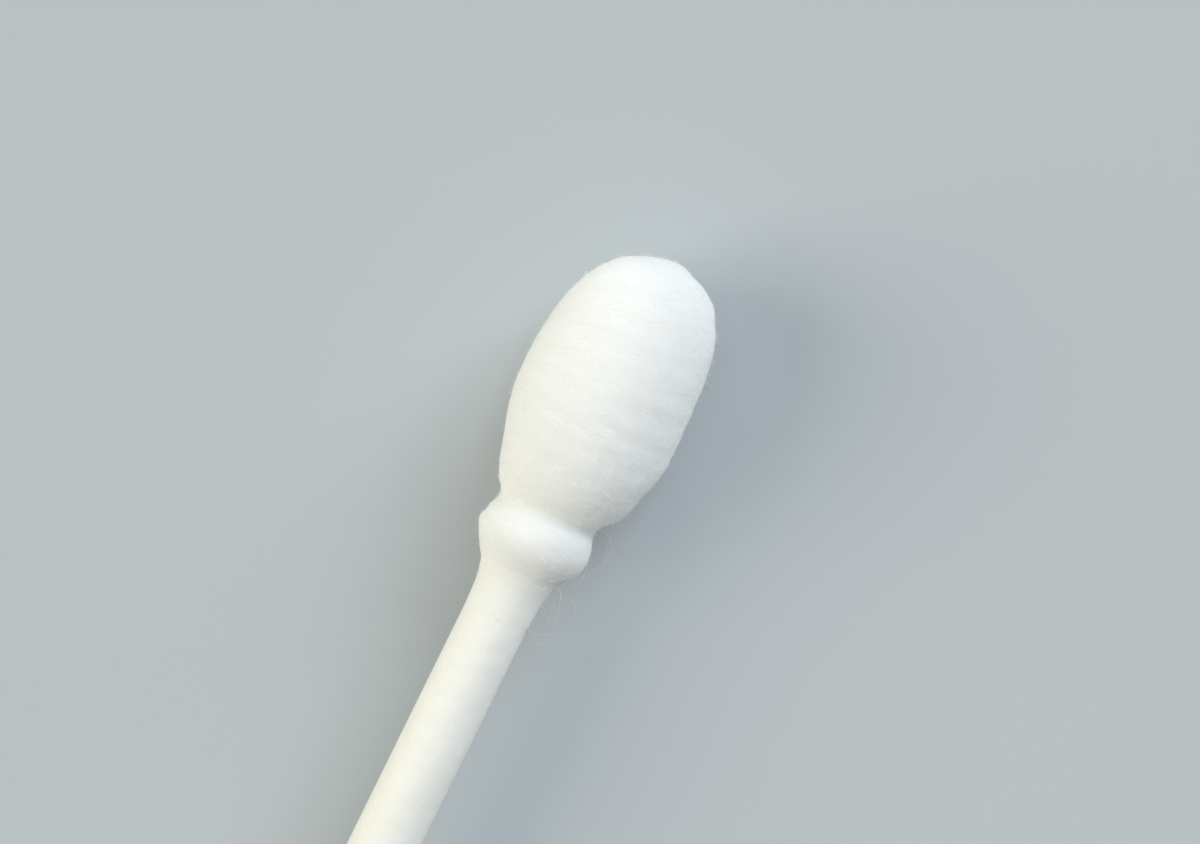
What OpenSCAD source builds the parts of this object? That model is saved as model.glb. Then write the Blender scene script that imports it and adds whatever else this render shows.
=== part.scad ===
// Household cotton swab, lying down as it comes to rest.
// A rolled paper stick carries a bud of wound cotton at each end. Each bud is one piece of cotton:
// a blunt bulb, a crease at the waist, a small collar, and a thin skirt that feathers out on the stick.
// X runs along the stick, towards the front bud. The surface that the swab lies on is at Z = 0.

/* [Swab] */
// Length over both buds, from tip to tip
overall_l = 76; // [70:0.5:82]
// Width of the flat patch that each soft bulb settles on
rest_w = 1.4; // [0.8:0.1:2]

/* [Stick] */
// Diameter of the rolled paper stick
stick_d = 2.3; // [2:0.05:2.7]
// Chamfer round the two cut ends of the stick
stick_chamfer = 0.2; // [0.05:0.05:0.4]
// Film of glue between the stick and the cotton wound on it
glue_film = 0.02; // [0.01:0.005:0.03]

/* [Bulb] */
// Widest diameter of the bulb
bulb_d = 6; // [5:0.1:7]
// Length of the nose, from the widest place to the tip
nose_l = 5.25; // [4.4:0.05:6.3]
// Squareness of the nose, where 2 is an ellipse and more is blunter
nose_power = 2.5; // [2:0.1:3]
// Length of the tail's curve, from the widest place to where it would close on the axis
tail_l = 5.3; // [4.4:0.05:6.3]
// Cotton beyond the end of the stick
tip_cotton = 1.8; // [1:0.1:2.6]

/* [Neck] */
// Cotton on the stick in the crease at the waist, before the rounding there fills it
waist_cotton = 0.54; // [0.4:0.02:0.7]
// Rounding in the crease at the waist
waist_round = 0.36; // [0.1:0.02:0.5]
// Distance from the waist to the widest place of the collar
shoulder_l = 0.92; // [0.7:0.02:1.2]
// Cotton on the stick at the widest place of the collar
collar_cotton = 0.84; // [0.76:0.02:1.1]
// Distance from the widest place of the collar to its foot
underside_l = 1.04; // [0.8:0.02:1.3]
// Rounding at the foot of the collar
foot_round = 0.24; // [0.1:0.02:0.4]

/* [Skirt] */
// Length of the skirt, from the foot of the collar to its edge
skirt_l = 1.4; // [1:0.1:2]
// Thickness of the skirt at the foot of the collar
skirt_cotton = 0.3; // [0.2:0.02:0.36]
// Thickness of the skirt's feathered edge
skirt_edge = 0.05; // [0.04:0.01:0.08]

/* [Hidden] */
$fn = 128;

// Angle between the outline's points along the nose
nose_step = 4.5;
// Greatest distance between the outline's points from the bulb to the skirt
outline_step = 0.15;
// Distance by which a cutting solid passes the piece that it cuts
cut_past = 1;

cotton_colour = "#F5F4EF";
paper_colour = "#F3F0E4";

stick_r = stick_d / 2;
bulb_r = bulb_d / 2;
waist_r = stick_r + waist_cotton;
collar_r = stick_r + collar_cotton;
foot_r = stick_r + skirt_cotton;
skirt_edge_r = stick_r + skirt_edge;
stick_l = overall_l - 2 * tip_cotton;

// Height of the stick's axis: each bulb is flattened until its patch is rest_w wide
axis_z = sqrt(pow(bulb_r, 2) - pow(rest_w / 2, 2));

// The share of its half length at which an ellipse has dropped from top to low
function ellipse_run(low, top) = sqrt(1 - pow(low / top, 2));

// Places along the bud, measured from its tip
waist_s = nose_l + tail_l * ellipse_run(waist_r, bulb_r);
collar_s = waist_s + shoulder_l;
foot_s = collar_s + underside_l;
skirt_s = foot_s + skirt_l;

// Half lengths of the collar's two quarter ellipses, which pass through the waist and the foot
shoulder_half_l = shoulder_l / ellipse_run(waist_r, collar_r);
underside_half_l = underside_l / ellipse_run(foot_r, collar_r);

// Height of an ellipse at a distance from its middle, or of a squarer curve where power is over 2
function arch(distance, half_l, top, power = 2) =
    distance >= half_l ? 0 : top * pow(1 - pow(distance / half_l, power), 1 / power);

function bulb_height(s) =
    s < nose_l ? arch(nose_l - s, nose_l, bulb_r, nose_power)
               : arch(s - nose_l, tail_l, bulb_r);

function collar_height(s) =
    s < collar_s ? arch(collar_s - s, shoulder_half_l, collar_r)
                 : arch(s - collar_s, underside_half_l, collar_r);

function skirt_height(s) =
    s < foot_s ? foot_r
               : skirt_edge_r + (foot_r - skirt_edge_r) * pow((skirt_s - s) / skirt_l, 2);

// The larger of two heights, with the corner between them rounded
function rounded_max(a, b, round) =
    max(a, b) + pow(max(round - abs(a - b), 0), 2) / (4 * round);

// Radius of the cotton at a distance from the tip, from the bulb to the skirt
function cotton_radius(s) =
    rounded_max(
        rounded_max(bulb_height(s), collar_height(s), waist_round),
        skirt_height(s),
        foot_round
    );

// The nose's points are spaced by angle, so that they crowd where it turns in to the tip
nose_outline = [
    for (a = [0:nose_step:90])
        let (s = nose_l * (1 - pow(cos(a), 2 / nose_power)))
        [bulb_height(s), -s]
];

neck_l = skirt_s - nose_l;
neck_points = ceil(neck_l / outline_step);
neck_outline = [
    for (i = [1:neck_points])
        let (s = nose_l + neck_l * i / neck_points)
        [cotton_radius(s), -s]
];

// The stick's form, or the hole that it leaves in the cotton, which is larger by a film
module stick_form(film = 0) {
    r = stick_r + film;
    end = stick_l / 2 + film;
    translate([0, 0, axis_z])
        rotate([0, 90, 0])
            rotate_extrude()
                polygon([
                    [0, -end],
                    [r - stick_chamfer, -end],
                    [r, -end + stick_chamfer],
                    [r, end - stick_chamfer],
                    [r - stick_chamfer, end],
                    [0, end]
                ]);
}

// The cotton as one turned form, with its tip at the front end of the swab
module cotton_form() {
    translate([overall_l / 2, 0, axis_z])
        rotate([0, 90, 0])
            rotate_extrude()
                polygon(concat(nose_outline, neck_outline, [[0, -skirt_s]]));
}

// Everything under the surface that the swab lies on
module under_surface() {
    translate([0, -bulb_r - cut_past, -bulb_r - cut_past])
        cube([overall_l / 2 + cut_past, bulb_d + 2 * cut_past, bulb_r + cut_past]);
}

module cotton_bud() {
    color(cotton_colour)
        difference() {
            cotton_form();
            stick_form(glue_film);
            under_surface();
        }
}

module stick() {
    color(paper_colour) stick_form();
}

module front_bud() {
    cotton_bud();
}

module back_bud() {
    rotate([0, 0, 180]) cotton_bud();
}

stick();
front_bud();
back_bud();
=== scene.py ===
import math
import random

import bpy
import numpy as np
from mathutils import Matrix, Vector, noise
from mathutils.bvhtree import BVHTree


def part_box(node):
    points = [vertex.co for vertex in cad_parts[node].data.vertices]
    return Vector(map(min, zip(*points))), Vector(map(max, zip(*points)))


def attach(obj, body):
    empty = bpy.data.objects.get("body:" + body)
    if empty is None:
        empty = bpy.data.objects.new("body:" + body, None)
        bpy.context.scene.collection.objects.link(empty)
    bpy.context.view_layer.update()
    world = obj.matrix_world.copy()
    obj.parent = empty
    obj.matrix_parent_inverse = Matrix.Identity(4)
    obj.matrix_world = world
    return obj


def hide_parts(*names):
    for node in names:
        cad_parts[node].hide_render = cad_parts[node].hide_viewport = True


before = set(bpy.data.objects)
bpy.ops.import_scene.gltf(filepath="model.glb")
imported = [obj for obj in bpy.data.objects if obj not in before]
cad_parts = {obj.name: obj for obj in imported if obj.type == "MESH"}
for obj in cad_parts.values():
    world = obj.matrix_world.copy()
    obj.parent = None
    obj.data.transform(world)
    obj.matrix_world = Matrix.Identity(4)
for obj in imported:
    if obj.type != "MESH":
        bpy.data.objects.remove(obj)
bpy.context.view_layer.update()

# The view: the swab lies on the floor and the camera looks straight down on it, so it is seen square
# from the side. The front bud is above the picture's middle, and the stick leaves at the lower edge.
MM = 0.001
PICTURE_W = 41.0 * MM
LENS_MM = 100.0
SENSOR_MM = 36.0
STICK_LEAN = math.radians(26.2)
CENTRE_FROM_TIP = 5.94 * MM
CENTRE_ASIDE = 0.26 * MM

stick_low, stick_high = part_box("stick")
axis_z = (stick_low.z + stick_high.z) / 2
tip_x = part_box("front_bud")[1].x

bpy.ops.object.camera_add(
    location=(
        tip_x - CENTRE_FROM_TIP,
        -CENTRE_ASIDE,
        axis_z + PICTURE_W * LENS_MM / SENSOR_MM,
    ),
    rotation=(0, 0, STICK_LEAN - math.pi / 2),
)
camera = bpy.context.object
camera.name = "camera"
camera.data.lens = LENS_MM
camera.data.sensor_width = SENSOR_MM
camera.data.clip_start = 1 * MM
camera.data.clip_end = 10
bpy.context.scene.camera = camera
bpy.context.scene.view_settings.view_transform = "Standard"

# The floor is a sheet of matte grey-blue card, wide enough to fill every view. It is pale, but dark
# enough for white cotton to stand out from it, and the room round it has the same tone.
FLOOR_W = 6.0


def linear(hex_colour):
    """An sRGB hex colour as the linear RGBA that a shader socket holds."""
    channels = [int(hex_colour[i:i + 2], 16) / 255 for i in (1, 3, 5)]
    return [c / 12.92 if c <= 0.04045 else ((c + 0.055) / 1.055) ** 2.4 for c in channels] + [1]


def add_node(tree, kind, inputs=None, **settings):
    """Adds a node, makes its settings, and fills each input with a value or links it to a socket."""
    node = tree.nodes.new(kind)
    for name, value in settings.items():
        setattr(node, name, value)
    for name, value in (inputs or {}).items():
        if isinstance(value, bpy.types.NodeSocket):
            tree.links.new(value, node.inputs[name])
        else:
            node.inputs[name].default_value = value
    return node


def new_material(name):
    """A material without nodes, and its tree."""
    material = bpy.data.materials.new(name)
    material.use_nodes = True
    material.node_tree.nodes.clear()
    return material, material.node_tree


bpy.ops.mesh.primitive_plane_add(size=FLOOR_W)
floor = bpy.context.object
floor.name = "floor"

# Matte card: uncoated, so it is dull, with a faint tooth of pressed fibre.
CARD_COLOUR = "#BFC5C9"
CARD_TOOTH = 0.6 * MM
CARD_TOOTH_DEPTH = 0.02 * MM

card, tree = new_material("matte_card")
where = add_node(tree, "ShaderNodeTexCoord")
tooth = add_node(tree, "ShaderNodeTexNoise", {
    "Vector": where.outputs["Object"], "Scale": 1 / CARD_TOOTH, "Detail": 3.0,
})
surface = add_node(tree, "ShaderNodeBump", {
    "Height": tooth.outputs["Fac"], "Strength": 0.15, "Distance": CARD_TOOTH_DEPTH,
})
finish = add_node(tree, "ShaderNodeBsdfPrincipled", {
    "Base Color": linear(CARD_COLOUR), "Roughness": 0.9, "Specular IOR Level": 0.2,
    "Normal": surface.outputs["Normal"],
})
add_node(tree, "ShaderNodeOutputMaterial", {"Surface": finish.outputs["BSDF"]})
floor.data.materials.append(card)

# The light: a large warm softbox at the picture's left, a cooler one at its upper right, a weak one over
# the camera, and a dim even room. Directions are as the picture shows them: right, up and towards us.
WARM = "#FDF8E3"
COOL = "#ECF6FF"
NEUTRAL = "#FFFFFF"
ROOM = "#F4F9F9"
ROOM_LEVEL = 0.28
SOFTBOX_FAR = 3.0
SOFTBOX_W = 2.0


def add_softbox(name, direction, watts, colour):
    """Adds a square softbox that shines on the middle of the swab."""
    right, up, near = camera.matrix_world.to_3x3().col
    away = (right * direction[0] + up * direction[1] + near * direction[2]).normalized()
    bpy.ops.object.light_add(type="AREA", location=away * SOFTBOX_FAR)
    lamp = bpy.context.object
    lamp.name = name
    lamp.rotation_euler = away.to_track_quat("Z", "Y").to_euler()
    lamp.data.size = SOFTBOX_W
    lamp.data.energy = watts
    lamp.data.color = linear(colour)[:3]


# The softboxes are placed by the camera's axes, which are right only once its matrix is up to date.
bpy.context.view_layer.update()
add_softbox("left_softbox", (-0.85, 0.0, 0.5), 54, WARM)
add_softbox("upper_softbox", (0.6, 0.6, 0.5), 65, COOL)
add_softbox("camera_softbox", (0.0, 0.2, 0.98), 13, NEUTRAL)

room = bpy.data.worlds.new("room")
room.use_nodes = True
background = room.node_tree.nodes["Background"]
background.inputs["Color"].default_value = linear(ROOM)
background.inputs["Strength"].default_value = ROOM_LEVEL
bpy.context.scene.world = room

# The stick is a strip of white paper, rolled tight with glue and cut to length. The roll leaves one
# low lap, where the strip's edge lies on the turn below, and the lap winds slowly round the stick.
STICK_SIDES = 96
STICK_RINGS = 72
STICK_CHAMFER = 0.2 * MM
LAP_STEP = 0.03 * MM
LAP_ANGLE = math.radians(130)
LAP_TURNS = 0.3

stick_l = stick_high.x - stick_low.x
stick_r = (stick_high.z - stick_low.z) / 2
cut_r = stick_r - STICK_CHAMFER


def deselect():
    """Leaves no object selected, so that an operator acts only on what is made next."""
    bpy.ops.object.select_all(action="DESELECT")


def settle(piece):
    """Puts the piece's place and turn into its mesh and leaves its object at the origin."""
    deselect()
    piece.select_set(True)
    bpy.context.view_layer.objects.active = piece
    bpy.ops.object.transform_apply(location=True, rotation=True, scale=True)


def draw_out(length, factor=1.0):
    """Draws the selected end of the stick out along X, and makes it wider or narrower by a factor."""
    bpy.ops.mesh.extrude_region_move(TRANSFORM_OT_translate={"value": (length, 0, 0)})
    if factor != 1:
        bpy.ops.transform.resize(value=(1, factor, factor))


def lap_depth(x, turn):
    """How far the paper lies under the lap's top, at a place along the stick and an angle round it."""
    lap_here = LAP_ANGLE + 2 * math.pi * LAP_TURNS * x / stick_l
    return LAP_STEP * (1 - (turn - lap_here) % (2 * math.pi) / (2 * math.pi))


deselect()
bpy.ops.mesh.primitive_circle_add(
    vertices=STICK_SIDES, radius=cut_r, fill_type="NGON",
    location=(stick_low.x, 0, axis_z), rotation=(0, math.pi / 2, 0),
)
rolled_stick = bpy.context.object
rolled_stick.name = "rolled_paper_stick"
bpy.ops.object.mode_set(mode="EDIT")
bpy.ops.mesh.select_all(action="SELECT")
draw_out(STICK_CHAMFER, stick_r / cut_r)
for _ in range(STICK_RINGS):
    draw_out((stick_l - 2 * STICK_CHAMFER) / STICK_RINGS)
draw_out(STICK_CHAMFER, cut_r / stick_r)
bpy.ops.mesh.select_all(action="SELECT")
bpy.ops.mesh.normals_make_consistent(inside=False)
bpy.ops.object.mode_set(mode="OBJECT")
settle(rolled_stick)

# The step of the lap lies half over and half under the stick's true radius.
for vertex in rolled_stick.data.vertices:
    across = Vector((0, vertex.co.y, vertex.co.z - axis_z))
    turn = math.atan2(-across.y, across.z)
    across *= 1 + (LAP_STEP / 2 - lap_depth(vertex.co.x, turn)) / stick_r
    vertex.co.y = across.y
    vertex.co.z = axis_z + across.z
bpy.ops.object.shade_smooth_by_angle(angle=math.radians(50))

# Rolled bond paper: dull and faintly clouded, with its fibres lying along the stick. Real ones are about
# 0.03 mm wide, too fine to show, so they are drawn three times as wide.
PAPER_COLOUR = "#FCFBF5"
PAPER_SHADE = "#F6F4EB"
PAPER_CLOUD = 2.5 * MM
PAPER_FIBRE_W = 0.1 * MM
PAPER_FIBRE_L = 0.7 * MM
PAPER_FIBRE_DEPTH = 0.012 * MM
PAPER_FLOC = 0.8 * MM
PAPER_FLOC_DEPTH = 0.06 * MM

paper, tree = new_material("rolled_bond_paper")
where = add_node(tree, "ShaderNodeTexCoord")
clouds = add_node(tree, "ShaderNodeTexNoise", {
    "Vector": where.outputs["Object"], "Scale": 1 / PAPER_CLOUD, "Detail": 4.0,
})
tone = add_node(tree, "ShaderNodeMix", {
    "Factor": clouds.outputs["Fac"], "A": linear(PAPER_SHADE), "B": linear(PAPER_COLOUR),
}, data_type="RGBA")
along = add_node(tree, "ShaderNodeMapping", {
    "Vector": where.outputs["Object"],
    "Scale": (1 / PAPER_FIBRE_L, 1 / PAPER_FIBRE_W, 1 / PAPER_FIBRE_W),
})
fibres = add_node(tree, "ShaderNodeTexNoise", {
    "Vector": along.outputs["Vector"], "Scale": 1.0, "Detail": 3.0,
})
surface = add_node(tree, "ShaderNodeBump", {
    "Height": fibres.outputs["Fac"], "Strength": 1.0, "Distance": PAPER_FIBRE_DEPTH,
})
flocs = add_node(tree, "ShaderNodeTexNoise", {
    "Vector": where.outputs["Object"], "Scale": 1 / PAPER_FLOC, "Detail": 2.0,
})
surface = add_node(tree, "ShaderNodeBump", {
    "Height": flocs.outputs["Fac"], "Strength": 1.0, "Distance": PAPER_FLOC_DEPTH,
    "Normal": surface.outputs["Normal"],
})
finish = add_node(tree, "ShaderNodeBsdfPrincipled", {
    "Base Color": tone.outputs["Result"], "Roughness": 0.7, "Specular IOR Level": 0.35,
    "Normal": surface.outputs["Normal"],
})
add_node(tree, "ShaderNodeOutputMaterial", {"Surface": finish.outputs["BSDF"]})
rolled_stick.data.materials.clear()
rolled_stick.data.materials.append(paper)
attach(rolled_stick, "root")
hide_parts("stick")

# The buds. A sliver of bleached cotton is wound on each end of the stick and pressed in a mould, which
# leaves a blunt bulb, a crease at the waist, a small collar, and a skirt that feathers out on the stick.
# All of it is one soft mass of fibre with no skin, so its shape is given here, and not made as cloth.

# Sizes of the buds are in millimetres, and places on them are given from the tip (s), aside and up.
# They are the same as in the part's source, but for the skirt: it runs on here as a thin film.
NOSE_L = 5.25
NOSE_POWER = 2.5
TAIL_L = 5.3
WAIST_COTTON = 0.54
WAIST_ROUND = 0.36
SHOULDER_L = 0.92
COLLAR_COTTON = 0.84
UNDERSIDE_L = 1.04
FOOT_ROUND = 0.24
SKIRT_L = 1.82
SKIRT_COTTON = 0.3
SKIRT_POWER = 2.4
FILM_COTTON = 0.02
FILM_L = 0.2
EDGE_COTTON = 0.006
TIP_COTTON = 1.8
BORE_PLAY = 0.002
BORE_SETBACK = 0.02
OUTLINE_STEP = 0.065
NOSE_SAMPLES = 400
NECK_SAMPLES = 1200
BUD_SIDES = 240
MERGE_GAP = 0.0002

bud_low, bud_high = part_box("front_bud")
bulb_r = (bud_high.y - bud_low.y) / 2 / MM
core_r = stick_r / MM
waist_r = core_r + WAIST_COTTON
collar_r = core_r + COLLAR_COTTON
foot_r = core_r + SKIRT_COTTON


def ellipse_run(low, top):
    """The share of its half length at which an ellipse has dropped from top to low."""
    return math.sqrt(1 - (low / top) ** 2)


waist_s = NOSE_L + TAIL_L * ellipse_run(waist_r, bulb_r)
collar_s = waist_s + SHOULDER_L
foot_s = collar_s + UNDERSIDE_L
skirt_s = foot_s + SKIRT_L
shoulder_half_l = SHOULDER_L / ellipse_run(waist_r, collar_r)
underside_half_l = UNDERSIDE_L / ellipse_run(foot_r, collar_r)


def arch(distance, half_length, top):
    """Height of an ellipse at a distance from its middle."""
    return top * np.sqrt(1 - np.clip(distance / half_length, 0, 1) ** 2)


def rounded_max(a, b, rounding):
    """The larger of two heights, with the corner between them rounded."""
    return np.maximum(a, b) + np.maximum(rounding - np.abs(a - b), 0) ** 2 / (4 * rounding)


def cotton_radius(s):
    """Radius of the cotton from its widest place to the skirt's edge, at distances from the tip."""
    tail = arch(s - NOSE_L, TAIL_L, bulb_r)
    collar = np.where(
        s < collar_s,
        arch(collar_s - s, shoulder_half_l, collar_r),
        arch(s - collar_s, underside_half_l, collar_r),
    )
    film = EDGE_COTTON + (FILM_COTTON - EDGE_COTTON) * np.clip((skirt_s - s) / (2 * FILM_L), 0, 1)
    feather = np.clip((skirt_s - FILM_L - s) / (SKIRT_L - FILM_L), 0, 1) ** SKIRT_POWER
    skirt = core_r + film + (SKIRT_COTTON - FILM_COTTON) * feather
    return rounded_max(rounded_max(tail, collar, WAIST_ROUND), skirt, FOOT_ROUND)


def cotton_outline():
    """Points from the tip to the skirt's edge, evenly spaced along the outline, as (s, r)."""
    angles = np.linspace(0, math.pi / 2, NOSE_SAMPLES)
    nose_s = NOSE_L * (1 - np.cos(angles) ** (2 / NOSE_POWER))
    nose_r = bulb_r * np.sin(angles) ** (2 / NOSE_POWER)
    neck_s = np.linspace(NOSE_L, skirt_s, NECK_SAMPLES)[1:]
    s = np.concatenate([nose_s, neck_s])
    r = np.concatenate([nose_r, cotton_radius(neck_s)])
    length = np.concatenate([[0], np.cumsum(np.hypot(np.diff(s), np.diff(r)))])
    even = np.linspace(0, length[-1], round(length[-1] / OUTLINE_STEP) + 1)
    return list(zip(np.interp(even, length, s), np.interp(even, length, r)))


outline = cotton_outline()
ring_s, ring_r = np.array(outline).T

# The way that the outline faces at each of its points. It is worked out here because the normals that
# Blender gives differ in their last digits from run to run.
ring_step = np.hypot(np.gradient(ring_s), np.gradient(ring_r))
facing_s = -np.gradient(ring_r) / ring_step
facing_r = np.gradient(ring_s) / ring_step
facing_s[0] = -1
facing_r[0] = 0

# The bore is a hair wider than the stick that is glued in it, and ends just past the stick's end.
bore = [
    (skirt_s - BORE_SETBACK, core_r + BORE_PLAY),
    (TIP_COTTON - BORE_PLAY, core_r + BORE_PLAY),
    (TIP_COTTON - BORE_PLAY, 0),
]
profile = outline + bore

# One bud is turned from the outline, as a point drawn along it and spun round the stick.
deselect()
bpy.ops.mesh.primitive_plane_add(size=MM, location=(tip_x, 0, axis_z))
turned_bud = bpy.context.object
turned_bud.name = "turned_bud"
settle(turned_bud)
bpy.ops.object.mode_set(mode="EDIT")
bpy.ops.mesh.select_all(action="SELECT")
bpy.ops.mesh.merge(type="CENTER")
for (s0, r0), (s1, r1) in zip(profile, profile[1:]):
    step = ((s0 - s1) * MM, 0, (r1 - r0) * MM)
    bpy.ops.mesh.extrude_vertices_move(TRANSFORM_OT_translate={"value": step})
bpy.ops.mesh.select_all(action="SELECT")
bpy.ops.mesh.spin(steps=BUD_SIDES, angle=2 * math.pi, center=(0, 0, axis_z), axis=(1, 0, 0))
bpy.ops.mesh.select_all(action="SELECT")
bpy.ops.mesh.remove_doubles(threshold=MERGE_GAP * MM)
bpy.ops.mesh.normals_make_consistent(inside=False)
bpy.ops.object.mode_set(mode="OBJECT")
bpy.ops.object.shade_smooth_by_angle(angle=math.radians(60))

# What the winding leaves on the cotton: broad lumps and small ripples, a coil where the sliver's turns
# lie beside each other, and strands that run round the bud in three layers, fainter towards the tip.
LUMP_SIZE = 2.4
LUMP_DEPTH = 0.035
LUMP_SQUASH = 0.8
RIPPLE_SIZE = 0.8
RIPPLE_DEPTH = 0.006
COIL_PITCH = 0.95
COIL_DEPTH = 0.006
COIL_MIDDLE = 5.4
COIL_REACH = 4.6
COIL_WANDER = 1.2
COIL_WANDER_SIZE = 3.0
STRAND_W = 0.3
STRAND_L = 2.4
STRAND_DEPTH = 0.005
STRAND_LEAST = 0.3
STRAND_FULL_S = 2
STRAND_TILTS = ((0.3, 0.1), (-0.25, 0.3), (0.05, -0.4))
SEED_STEP = (17.3, 5.1, 9.7)

# What handling and the mould leave: dabs of cotton more or less, which are longer upwards than along the
# bud, and short bowed creases with a low lip on each side. Both fade out on the skirt.
DAB_STRETCH = 2.2
CREASE_W = 0.17
CREASE_BOW = 0.25
CREASE_LIP = 0.2
RELIEF_FADE = 0.8

# The skirt's edge is ragged, with small teeth on long waves. The tip leans to one side, the tail is
# fuller on one side, and the collar sits askew. The cotton gives a little where it rests on the floor.
RAG_DEPTH = 0.3
RAG_SIZE = 0.7
RAG_STEP = 3.7
TEETH_SIZE = 0.16
TEETH_SHARE = 0.4
SKEW_REACH = 2.4
LEAN_FADE = 1.6
TAIL_MIDDLE = 7.8
TAIL_REACH = 2.3
FLOOR_SOFTNESS = 0.03


def noise_at(points, size, seed):
    """Smooth noise between about -1 and 1, whose lumps have the size given, at points in millimetres."""
    shift = Vector([step * seed for step in SEED_STEP])
    return np.array([noise.noise(Vector(p) / size + shift) for p in points])


def hump(value, centre, half_width):
    """1 at the centre and 0 from half a width away, with soft ends."""
    return np.clip(1 - ((value - centre) / half_width) ** 2, 0, 1) ** 2


def winding_relief(points, turn, seed):
    """Height of what the winding leaves on the cotton, at points of the bud."""
    s, aside, up = points.T
    relief = LUMP_DEPTH * noise_at(points * [LUMP_SQUASH, 1, 1], LUMP_SIZE, seed)
    relief += RIPPLE_DEPTH * noise_at(points, RIPPLE_SIZE, seed + 1)
    wander = COIL_WANDER * noise_at(points, COIL_WANDER_SIZE, seed + 2)
    coil = np.cos(2 * math.pi * s / COIL_PITCH + turn + wander)
    relief += COIL_DEPTH * coil * hump(s, COIL_MIDDLE, COIL_REACH)
    for i, (tilt_aside, tilt_up) in enumerate(STRAND_TILTS):
        wound = np.stack([s + tilt_aside * aside + tilt_up * up, aside, up], axis=1)
        strands = noise_at(wound * [STRAND_L / STRAND_W, 1, 1], STRAND_L, seed + 5 + i)
        relief += STRAND_DEPTH * strands * np.clip(s / STRAND_FULL_S, STRAND_LEAST, 1)
    return relief


def crease_relief(s, turn, r, crease):
    """Depth of one bowed crease and its lips, at points of the bud."""
    place, angle, slant, half_length, depth = crease
    cos_slant = math.cos(math.radians(slant))
    sin_slant = math.sin(math.radians(slant))
    along_s = s - place
    along_turn = ((turn - math.radians(angle) + math.pi) % (2 * math.pi) - math.pi) * r
    along = along_s * cos_slant + along_turn * sin_slant
    across = along_turn * cos_slant - along_s * sin_slant
    across = across + CREASE_BOW * along * along / half_length
    groove = np.exp(-(across / CREASE_W) ** 2)
    groove -= CREASE_LIP * np.exp(-((np.abs(across) - 2 * CREASE_W) / CREASE_W) ** 2)
    return depth * groove * hump(along, 0, half_length)


def shape_bud(name, end, seed, tip_lean, tail_lean, collar_skew, dabs, creases):
    """Copies the turned bud to one end of the stick and shapes it with the given relief, dabs and creases.
    """
    bud = turned_bud.copy()
    bud.data = turned_bud.data.copy()
    bud.name = name
    bpy.context.collection.objects.link(bud)
    co = np.empty(len(bud.data.vertices) * 3, np.float32)
    bud.data.vertices.foreach_get("co", co)
    co = co.reshape(-1, 3).astype(float)
    s = (tip_x - co[:, 0]) / MM
    aside = -co[:, 1] / MM
    up = (co[:, 2] - axis_z) / MM
    r = np.hypot(aside, up)
    turn = np.arctan2(aside, up)
    n_s = np.interp(s, ring_s, facing_s)
    n_r = np.interp(s, ring_s, facing_r)
    # The bore keeps its shape, so only what lies outside it, or is near the tip, is shaped.
    outside = (r > core_r + EDGE_COTTON / 2) | (s < TIP_COTTON / 2)

    points = np.stack([s, aside, up], axis=1)
    relief = winding_relief(points, turn, seed)
    for *centre, reach, height in dabs:
        distance = np.linalg.norm((points - centre) * [1, 1, 1 / DAB_STRETCH], axis=1)
        relief += height * hump(distance, 0, reach)
    for crease in creases:
        relief -= crease_relief(s, turn, r, crease)
    relief *= outside * np.clip((foot_s - s) / RELIEF_FADE + 1, 0, 1)
    s = s + relief * n_s
    aside = aside + relief * (n_r * np.sin(turn))
    up = up + relief * (n_r * np.cos(turn))

    around = np.stack([np.cos(turn), np.sin(turn), np.full(len(s), seed * RAG_STEP)], axis=1)
    waves = noise_at(around, RAG_SIZE, seed + 3)
    teeth = noise_at(around, TEETH_SIZE, seed + 4)
    rag = RAG_DEPTH * (waves + TEETH_SHARE * teeth)
    s = s + rag * np.clip((s - foot_s) / SKIRT_L, 0, 1) ** 2
    s = s - collar_skew * np.sin(turn) * outside * hump(s, collar_s, SKEW_REACH)
    lean = tip_lean * np.exp(-s / LEAN_FADE) + tail_lean * hump(s, TAIL_MIDDLE, TAIL_REACH)
    aside = aside + lean * outside

    # Cotton that lies thin on the paper, and the bore, follow the step of the paper's lap.
    on_stick = np.clip(1 - (r - core_r) / SKIRT_COTTON, 0, 1) * (s > TIP_COTTON / 2) * (r > core_r / 2)
    sink = on_stick * (lap_depth(end * (tip_x - s * MM), end * turn) - LAP_STEP / 2) / MM
    aside = aside - sink * np.sin(turn)
    up = up - sink * np.cos(turn)

    height = axis_z / MM + up
    height = (height + np.sqrt(height ** 2 + FLOOR_SOFTNESS ** 2)) / 2
    co = np.stack([end * (tip_x - s * MM), -end * aside * MM, height * MM], axis=1)
    bud.data.vertices.foreach_set("co", co.astype(np.float32).ravel())
    bud.data.update()
    return bud


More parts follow.
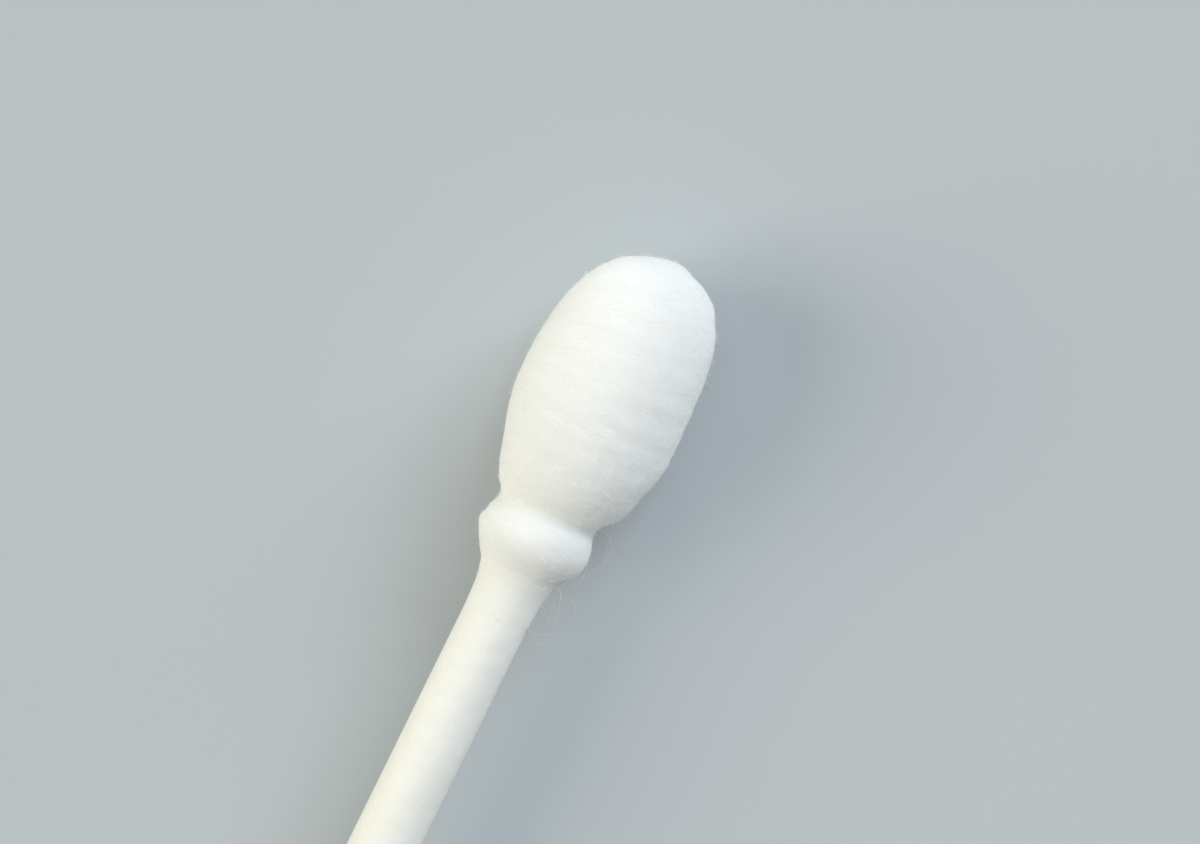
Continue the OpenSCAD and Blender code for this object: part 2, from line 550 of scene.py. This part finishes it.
# Each dab of cotton more or less: distance from the tip, place aside, place up, reach, height.
FRONT_DABS = [
    (0.0, 0.08, 0.0, 0.8, 0.09),
    (0.22, -1.2, 0.0, 0.8, -0.055),
    (0.84, -1.9, 0.0, 0.7, -0.03),
    (0.15, 0.85, 0.0, 0.5, -0.035),
    (0.3, 1.3, 0.0, 0.6, -0.02),
    (0.75, 1.95, 0.0, 0.5, 0.025),
    (1.97, 2.65, 0.0, 0.9, 0.03),
    (4.2, 2.96, 0.0, 1.4, -0.04),
    (6.3, 2.97, 0.0, 0.7, 0.035),
    (7.75, 2.72, 0.0, 1.0, -0.075),
    (9.27, 2.0, 0.0, 0.48, -0.16),
    (9.42, -1.85, 0.0, 0.4, -0.05),
    (7.7, -2.5, 0.0, 0.8, -0.035),
    (10.2, -1.93, 0.0, 0.3, -0.03),
    (10.5, -2.0, 0.0, 0.35, 0.03),
    (11.1, -1.85, 0.0, 0.6, -0.06),
    (11.25, 1.74, 0.0, 0.35, -0.03),
    (11.66, 1.42, 0.0, 0.4, -0.085),
]
BACK_DABS = [
    (0.05, -0.3, 0.1, 0.7, 0.06),
    (0.3, 1.2, 0.2, 0.8, -0.05),
    (3.1, -2.7, 0.5, 1.3, -0.04),
    (5.6, 2.6, 1.2, 1.2, 0.035),
    (7.5, -2.4, 1.0, 0.8, -0.06),
    (9.2, 1.8, 0.8, 0.5, -0.06),
    (10.6, -1.7, 1.0, 0.6, 0.04),
    (11.2, 1.3, 1.2, 0.6, -0.05),
]
# Each crease: distance from the tip, angle round the bud and slant in degrees, half length, depth.
FRONT_CREASES = [
    (5.9, 8, 60, 0.55, 0.0175),
    (5.4, 30, 75, 0.9, 0.009),
    (8.1, -8, 35, 0.8, 0.02),
    (7.4, 22, 20, 0.9, 0.012),
    (8.6, 40, 10, 0.7, 0.02),
    (8.4, -42, -15, 0.8, 0.02),
    (6.6, -55, 50, 0.8, 0.015),
    (7.8, 95, 15, 0.9, 0.0175),
    (8.3, 150, -10, 0.8, 0.02),
    (8.0, -120, 20, 0.9, 0.0175),
    (10.6, 25, 70, 0.7, 0.015),
    (10.9, -35, 80, 0.6, 0.015),
]
BACK_CREASES = [
    (6.4, -20, 65, 0.7, 0.0175),
    (5.0, 55, 80, 0.8, 0.015),
    (8.0, 15, 25, 0.9, 0.02),
    (8.4, -70, 10, 0.8, 0.02),
    (7.7, 80, -25, 0.8, 0.0175),
    (8.5, 130, 5, 0.7, 0.02),
    (8.2, -140, 15, 0.9, 0.0175),
    (10.5, -10, 75, 0.7, 0.015),
    (10.8, 70, 80, 0.6, 0.015),
]
front_cotton = shape_bud(
    "front_cotton_bud", end=1, seed=1, tip_lean=0.18, tail_lean=0.095, collar_skew=0.085,
    dabs=FRONT_DABS, creases=FRONT_CREASES,
)
back_cotton = shape_bud(
    "back_cotton_bud", end=-1, seed=2, tip_lean=-0.1, tail_lean=0.06, collar_skew=-0.07,
    dabs=BACK_DABS, creases=BACK_CREASES,
)
bpy.data.objects.remove(turned_bud)

# Bleached cotton wool: dead matt, with a soft bloom at its edges, and streaked along the winding where
# the sliver lies thicker and thinner. Real fibres are about 0.015 mm wide, too fine to show, so the
# strands in its relief are drawn three or four times as wide.
COTTON_COLOUR = "#FCFCFB"
COTTON_SHADE = "#F4F4F1"
PAPER_THROUGH = "#F9F8F0"
STREAK_W = 0.4 * MM
STREAK_L = 2.0 * MM
STREAK_TILT = math.radians(12)

cotton, tree = new_material("bleached_cotton_wool")
where = add_node(tree, "ShaderNodeTexCoord")
laps = add_node(tree, "ShaderNodeMapping", {
    "Vector": where.outputs["Object"],
    "Rotation": (0.0, 0.0, STREAK_TILT),
    "Scale": (1 / STREAK_W, 1 / STREAK_L, 1 / STREAK_L),
})
streaks = add_node(tree, "ShaderNodeTexNoise", {
    "Vector": laps.outputs["Vector"], "Scale": 1.0, "Detail": 4.0, "Roughness": 0.6, "Distortion": 0.4,
})
tone = add_node(tree, "ShaderNodeMix", {
    "Factor": streaks.outputs["Fac"], "A": linear(COTTON_SHADE), "B": linear(COTTON_COLOUR),
}, data_type="RGBA")

# Towards the skirt's edge the cotton is so thin that the paper shows through.
place = add_node(tree, "ShaderNodeSeparateXYZ", {"Vector": where.outputs["Object"]})
along = add_node(tree, "ShaderNodeMath", {0: place.outputs["X"]}, operation="ABSOLUTE")
thick = add_node(tree, "ShaderNodeMapRange", {
    "Value": along.outputs["Value"],
    "From Min": tip_x - skirt_s * MM, "From Max": tip_x - (foot_s - UNDERSIDE_L / 2) * MM,
}, interpolation_type="SMOOTHSTEP")
tone = add_node(tree, "ShaderNodeMix", {
    "Factor": thick.outputs["Result"], "A": linear(PAPER_THROUGH), "B": tone.outputs["Result"],
}, data_type="RGBA")

# Each layer of strands: its tilt in degrees, and their width, length and depth in millimetres.
STRAND_LAYERS = ((14, 0.06, 0.9, 0.005), (-22, 0.045, 0.6, 0.004), (70, 0.05, 0.5, 0.003))
relief_normal = None
for tilt, width, length, depth in STRAND_LAYERS:
    wound = add_node(tree, "ShaderNodeMapping", {
        "Vector": where.outputs["Object"],
        "Rotation": (0.0, math.radians(tilt / 2), math.radians(tilt)),
        "Scale": (1 / (width * MM), 1 / (length * MM), 1 / (length * MM)),
    })
    strands = add_node(tree, "ShaderNodeTexNoise", {
        "Vector": wound.outputs["Vector"], "Scale": 1.0, "Detail": 2.0, "Distortion": 0.6,
    })
    bump_inputs = {"Height": strands.outputs["Fac"], "Strength": 1.0, "Distance": depth * MM}
    if relief_normal:
        bump_inputs["Normal"] = relief_normal
    relief_normal = add_node(tree, "ShaderNodeBump", bump_inputs).outputs["Normal"]
finish = add_node(tree, "ShaderNodeBsdfPrincipled", {
    "Base Color": tone.outputs["Result"], "Roughness": 1.0, "Specular IOR Level": 0.1,
    "Sheen Weight": 0.12, "Sheen Roughness": 0.6,
    "Normal": relief_normal,
})
add_node(tree, "ShaderNodeOutputMaterial", {"Surface": finish.outputs["BSDF"]})
for bud, node in ((front_cotton, "front_bud"), (back_cotton, "back_bud")):
    bud.data.materials.append(cotton)
    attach(bud, "root")
    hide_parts(node)

# The nap is the loose outer fibre of each bud. Some of it lies along the winding, half sunk in the
# surface, and short curled ends stand up from it as a soft fuzz. They are drawn 0.009 mm thick and far
# fewer than on a real bud, so that they show as faintly as in the picture.
FIBRE_R = 0.0045
FIBRE_END = 0.35
FIBRE_BLUNT = 0.03
LAID_COUNT = 1600
LAID_POINTS = 12
LAID_LENGTH = (0.7, 2.4)
LAID_LIFT = 0.003
LAID_BEND = 0.04
LAID_WANDER = 0.03
FUZZ_COUNT = 4400
FUZZ_POINTS = 5
FUZZ_LENGTH = (0.08, 0.26)
FUZZ_RISE = (15, 65)
FUZZ_CURL = (0.1, 0.7)
FUZZ_SWING = 0.35
LONG_SHARE = 0.015
LONG_FACTOR = 2.5
TIP_WEIGHT = 0.15
SKIRT_WEIGHT = 0.5
SLANT = 0.35
TIP_SLANT = 1.2
TIP_SLANT_FADE = 1.0
SKIRT_SLANT = 1.1

# Single cotton fibres: matt and white, with painted shade: they are coloured greyer than the cotton,
# so that, catching light from all round, they look no brighter than the shaded mass they stand out of.
FIBRE_SHADED_PALE_TONE = "#F3F3F0"
FIBRE_SHADED_DARK_TONE = "#E6E6E2"

shaded_fibre_finish, tree = new_material("cotton_fibre_painted_shade")
where = add_node(tree, "ShaderNodeTexCoord")
clouds = add_node(tree, "ShaderNodeTexNoise", {
    "Vector": where.outputs["Object"], "Scale": 1 / STREAK_L, "Detail": 2.0,
})
tone = add_node(tree, "ShaderNodeMix", {
    "Factor": clouds.outputs["Fac"], "A": linear(FIBRE_SHADED_DARK_TONE), "B": linear(FIBRE_SHADED_PALE_TONE),
}, data_type="RGBA")
finish = add_node(tree, "ShaderNodeBsdfPrincipled", {
    "Base Color": tone.outputs["Result"], "Roughness": 0.9, "Specular IOR Level": 0.1,
    "Sheen Weight": 0.15, "Sheen Roughness": 0.5,
})
add_node(tree, "ShaderNodeOutputMaterial", {"Surface": finish.outputs["BSDF"]})


def lay_fibre(surface, draw, place, heading):
    """Points of one fibre that lies along a surface, half sunk in it."""
    length = draw.uniform(*LAID_LENGTH) * MM
    bend = draw.gauss(0, LAID_BEND)
    points = []
    for i in range(LAID_POINTS):
        foot, normal, _, _ = surface.find_nearest(place)
        share = i / (LAID_POINTS - 1)
        points.append(foot + normal * (LAID_LIFT * math.sin(math.pi * share) - FIBRE_R / 2) * MM)
        heading = (heading - normal * heading.dot(normal)).normalized()
        bend += draw.gauss(0, LAID_WANDER)
        heading.rotate(Matrix.Rotation(bend, 3, normal))
        place = foot + heading * (length / (LAID_POINTS - 1))
    return points


def raise_fibre(surface, draw, place, heading):
    """Points of one short fibre that stands up from a surface and curls over."""
    length = draw.uniform(*FUZZ_LENGTH) * MM
    if draw.random() < LONG_SHARE:
        length *= LONG_FACTOR
    foot, normal, _, _ = surface.find_nearest(place)
    heading = (heading - normal * heading.dot(normal)).normalized()
    rise = math.radians(draw.uniform(*FUZZ_RISE))
    curl = draw.uniform(*FUZZ_CURL)
    swing = draw.gauss(0, FUZZ_SWING)
    place = foot - normal * FIBRE_R * MM
    points = [place]
    for _ in range(FUZZ_POINTS - 1):
        place = place + (heading * math.cos(rise) + normal * math.sin(rise)) * (length / (FUZZ_POINTS - 1))
        points.append(place)
        rise -= curl
        heading.rotate(Matrix.Rotation(swing, 3, normal))
    return points


def fibres_to_mesh(name, paths, radius):
    """Turns paths of points into one mesh of thin closed tubes with fine ends, none below the floor."""
    curve = bpy.data.curves.new(name, "CURVE")
    curve.dimensions = "3D"
    curve.bevel_depth = radius
    curve.bevel_resolution = 0
    curve.use_fill_caps = True
    for path in paths:
        spline = curve.splines.new("POLY")
        spline.points.add(len(path) - 1)
        for i, (point, place) in enumerate(zip(spline.points, path)):
            share = min(max(i / (len(path) - 1), FIBRE_BLUNT), 1 - FIBRE_BLUNT)
            point.co = (place[0], place[1], max(place[2], radius), 1)
            point.radius = FIBRE_END + (1 - FIBRE_END) * math.sin(math.pi * share) ** 0.5
    fibres = bpy.data.objects.new(name, curve)
    bpy.context.collection.objects.link(fibres)
    deselect()
    fibres.select_set(True)
    bpy.context.view_layer.objects.active = fibres
    bpy.ops.object.convert(target="MESH")
    fibres = bpy.context.object
    fibres.data.materials.append(shaded_fibre_finish)
    # Fibres as fine as these let the light through, so they cast no shadow.
    fibres.visible_shadow = False
    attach(fibres, "root")


def surface_of(piece):
    """A piece's surface, to find nearest points on, with its faces in an order that stays the same."""
    # Edit mode lists the faces in another order each run, and ties go to the first one found.
    faces = []
    for face in piece.data.polygons:
        corners = list(face.vertices)
        first = corners.index(min(corners))
        faces.append(corners[first:] + corners[:first])
    return BVHTree.FromPolygons([vertex.co for vertex in piece.data.vertices], sorted(faces))


def grow_fibres(name, bud, end, seed, count, grow):
    """Starts fibres all over a bud, and grows each one along or out of its surface."""
    draw = random.Random(seed)
    surface = surface_of(bud)
    weight = np.cumsum((ring_r + TIP_WEIGHT) * np.where(ring_s < foot_s, 1, SKIRT_WEIGHT))
    weight /= weight[-1]
    axis = Vector((1, 0, 0))
    paths = []
    for _ in range(count):
        i = int(np.searchsorted(weight, draw.random()))
        s, r = ring_s[i], ring_r[i]
        turn = draw.uniform(-math.pi, math.pi)
        place = Vector((
            end * (tip_x - s * MM),
            -end * r * math.sin(turn) * MM,
            axis_z + r * math.cos(turn) * MM,
        ))
        winding = Vector((0, -end * math.cos(turn), -math.sin(turn)))
        spread = SLANT + TIP_SLANT * math.exp(-s / TIP_SLANT_FADE)
        if s > foot_s:
            spread = SKIRT_SLANT
        slant = draw.gauss(0, spread)
        heading = winding * math.cos(slant) + axis * math.sin(slant)
        paths.append(grow(surface, draw, place, heading))
    fibres_to_mesh(name, paths, FIBRE_R * MM)


grow_fibres("front_nap", front_cotton, end=1, seed=11, count=LAID_COUNT, grow=lay_fibre)
grow_fibres("back_nap", back_cotton, end=-1, seed=12, count=LAID_COUNT, grow=lay_fibre)
grow_fibres("front_fuzz", front_cotton, end=1, seed=13, count=FUZZ_COUNT, grow=raise_fibre)
grow_fibres("back_fuzz", back_cotton, end=-1, seed=14, count=FUZZ_COUNT, grow=raise_fibre)

# A few cotton fibres have come loose at the front collar, where a finger has brushed it: a thin veil
# round its right side, a curled tuft under it, wisps that trail along the skirt, and a stub at its left.
LOOSE_R = 0.004
LOOSE_STEPS = 14
LOOSE_REACH = (0.6, 1.0)
LOOSE_SPREAD = 0.07
WAVE_DEPTH = 0.05
WAVE_SIZE = 0.25
WAVE_SHIFT = 50
STILL_STEPS = 3

# Each kind of strand: how many there are, and the points that they pass, as (s, aside, up).
LOOSE_STRANDS = [
    (4, [
        (9.0, 2.0, 0.1), (9.25, 2.2, 0.15), (9.6, 2.46, 0.1),
        (10.2, 2.55, 0.0), (10.7, 2.4, -0.1), (11.1, 1.9, -0.1),
    ]),
    (1, [
        (10.2, 1.9, 0.3), (10.6, 2.15, 0.3), (11.0, 2.25, 0.2), (11.3, 2.0, 0.1), (11.45, 1.55, 0.0),
    ]),
    (4, [
        (11.5, 1.4, 0.1), (11.7, 1.56, 0.16), (12.1, 1.78, 0.1), (12.45, 1.72, 0.0), (12.62, 1.5, -0.1),
    ]),
    (1, [(11.45, 1.5, 0.0), (11.8, 1.88, 0.1), (12.15, 2.12, 0.1), (12.46, 2.3, 0.0)]),
    (2, [(12.4, 1.15, 0.3), (12.8, 1.5, 0.25), (13.2, 1.56, 0.15), (13.36, 1.81, 0.0)]),
    (2, [
        (13.3, 1.12, 0.2), (13.6, 1.4, 0.2), (13.66, 1.75, 0.15), (13.52, 2.0, 0.1), (13.4, 2.2, 0.0),
    ]),
    (3, [(11.66, -1.4, 0.1), (11.72, -1.54, 0.12), (11.76, -1.7, 0.1)]),
]


def strand_point(knots, along):
    """The point of a smooth curve through the knots, at a share of the way along it."""
    place = along * (len(knots) - 1)
    k = min(int(place), len(knots) - 2)
    u = place - k
    before = knots[max(k - 1, 0)]
    after = knots[min(k + 2, len(knots) - 1)]
    start_pull = (knots[k + 1] - before) / 2
    end_pull = (after - knots[k]) / 2
    return (
        knots[k] * (2 * u ** 3 - 3 * u ** 2 + 1) + start_pull * (u ** 3 - 2 * u ** 2 + u)
        + knots[k + 1] * (3 * u ** 2 - 2 * u ** 3) + end_pull * (u ** 3 - u ** 2)
    )


# Every strand starts at its first point, where it is still held, and strays more from there on. Their
# waves are seeded too, because noise_vector follows the clock otherwise.
noise.seed_set(15)
draw = random.Random(15)
paths = []
for count, guide in LOOSE_STRANDS:
    for _ in range(count):
        slack = Vector([draw.gauss(0, LOOSE_SPREAD) for _ in range(3)])
        knots = []
        for i, knot in enumerate(guide):
            stray = Vector([draw.gauss(0, LOOSE_SPREAD / 2) for _ in range(3)])
            knots.append(Vector(knot) + (slack * min(i, 2) + stray) * min(i, 1))
        reach = draw.uniform(*LOOSE_REACH)
        shift = Vector([draw.uniform(0, WAVE_SHIFT) for _ in range(3)])
        path = []
        for i in range(LOOSE_STEPS):
            point = strand_point(knots, reach * i / (LOOSE_STEPS - 1))
            wave = noise.noise_vector(point / WAVE_SIZE + shift)
            point += WAVE_DEPTH * min(i / STILL_STEPS, 1) * wave
            path.append((tip_x - point[0] * MM, -point[1] * MM, axis_z + point[2] * MM))
        paths.append(path)
fibres_to_mesh("loose_fibres", paths, LOOSE_R * MM)
